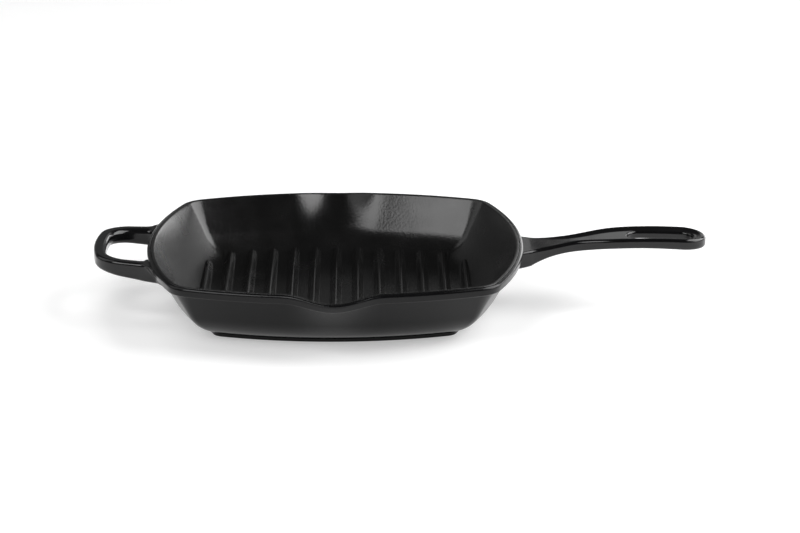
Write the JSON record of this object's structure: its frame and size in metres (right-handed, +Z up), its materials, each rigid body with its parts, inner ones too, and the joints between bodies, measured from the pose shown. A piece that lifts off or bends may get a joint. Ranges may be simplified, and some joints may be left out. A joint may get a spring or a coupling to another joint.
{
  "type": "grill pan",
  "caption": "Square enamelled cast-iron grill pan with a ribbed floor, a pouring spout at the front and the back, a long handle and a helper loop.",
  "frame": {"origin": "centre of the foot's underside, where the pan meets the hob", "axes": "+X along the long handle, +Y along the ribs towards the back spout, +Z up"},
  "size_m": [0.4283, 0.2904, 0.049],
  "materials": {
    "exterior_enamel_on_iron": "satin black vitreous enamel over cast iron",
    "matt_enamel_on_iron": "matt black vitreous enamel over cast iron",
    "matt_enamel": "matt black vitreous enamel"
  },
  "bodies": {
    "root": {"pan_body": "exterior_enamel_on_iron", "base_foot": "exterior_enamel_on_iron", "long_handle": "exterior_enamel_on_iron", "helper_handle": "exterior_enamel_on_iron", "grill_ribs": "matt_enamel_on_iron", "interior_enamel": "matt_enamel"}
  },
  "joints": []
}
